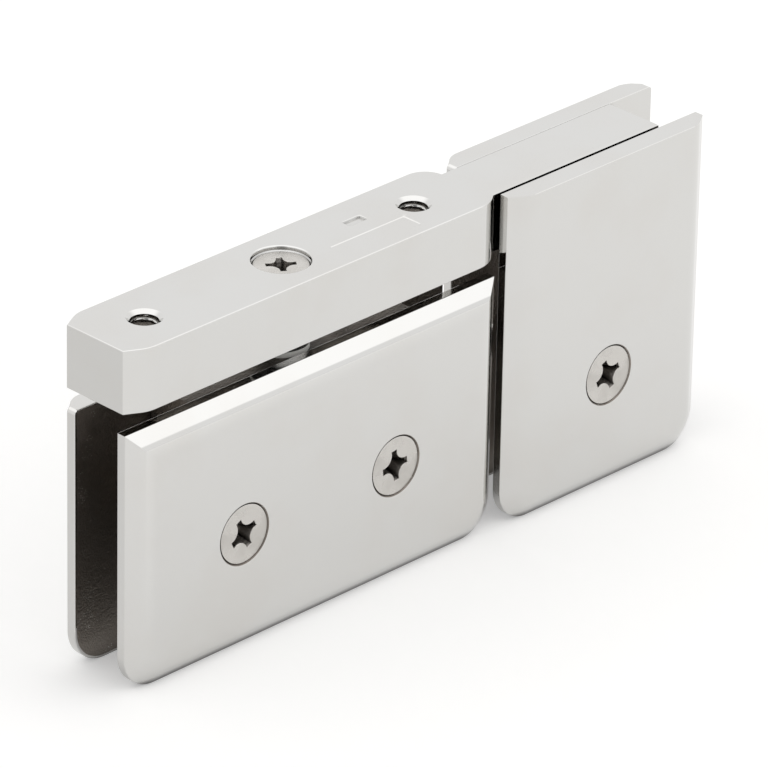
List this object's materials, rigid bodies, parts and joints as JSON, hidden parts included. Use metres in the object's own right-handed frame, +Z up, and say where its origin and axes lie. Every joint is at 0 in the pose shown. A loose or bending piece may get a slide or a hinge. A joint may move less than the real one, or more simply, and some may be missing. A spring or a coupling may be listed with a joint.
{
  "type": "pivot shower door hinge",
  "caption": "Polished pivot hinge for a frameless glass shower door: a block screwed to a header, bevelled plates that grip the swinging door, and a clamp on an arm for the fixed glass beside it.",
  "frame": {"origin": "on the pivot axis, midway between the two tapped header holes, in the block's top mounting face", "axes": "+Z up out of the mounting face along the pivot axis, +X along the hinge from the door towards the fixed glass, +Y through the glass away from the screw heads"},
  "size_m": [0.1445, 0.0215, 0.066],
  "materials": {
    "polished_chrome": "mirror polished chrome plate on cast brass",
    "screw_steel": "satin stainless steel",
    "pin_steel": "ground steel",
    "bearing_bronze": "sintered bearing bronze",
    "white_nylon": "moulded nylon"
  },
  "bodies": {
    "header_side": {"pivot_block": "polished_chrome", "pivot_pin": "pin_steel", "pivot_screw": "screw_steel", "retaining_clip": "pin_steel", "clamp_rear_plate": "polished_chrome", "clamp_front_plate": "polished_chrome", "clamp_screw": "screw_steel", "arm_screws": "screw_steel"},
    "door_side": {"door_front_plate": "polished_chrome", "door_rear_plate": "polished_chrome", "door_screws": "screw_steel", "spring_housing": "polished_chrome", "upper_bush": "bearing_bronze", "lower_bush": "bearing_bronze", "thrust_washer": "white_nylon", "left_spring": "pin_steel", "right_spring": "pin_steel", "spring_screws": "screw_steel"},
    "left_plunger": {"left_plunger": "white_nylon"},
    "right_plunger": {"right_plunger": "white_nylon"}
  },
  "joints": [
    {"name": "door_swing", "type": "hinge", "parent": "header_side", "child": "door_side", "pos_m": [0, 0, 0], "axis": [0, 0, 1], "range_deg": [-90, 90]},
    {"name": "left_plunger_slide", "type": "slide", "parent": "door_side", "child": "left_plunger", "axis": [1, 0, 0], "range_m": [0, 0.0003], "stiffness_N_per_m": 8700, "deforming": ["left_spring"]},
    {"name": "right_plunger_slide", "type": "slide", "parent": "door_side", "child": "right_plunger", "axis": [-1, 0, 0], "range_m": [0, 0.0003], "stiffness_N_per_m": 8700, "deforming": ["right_spring"]}
  ]
}
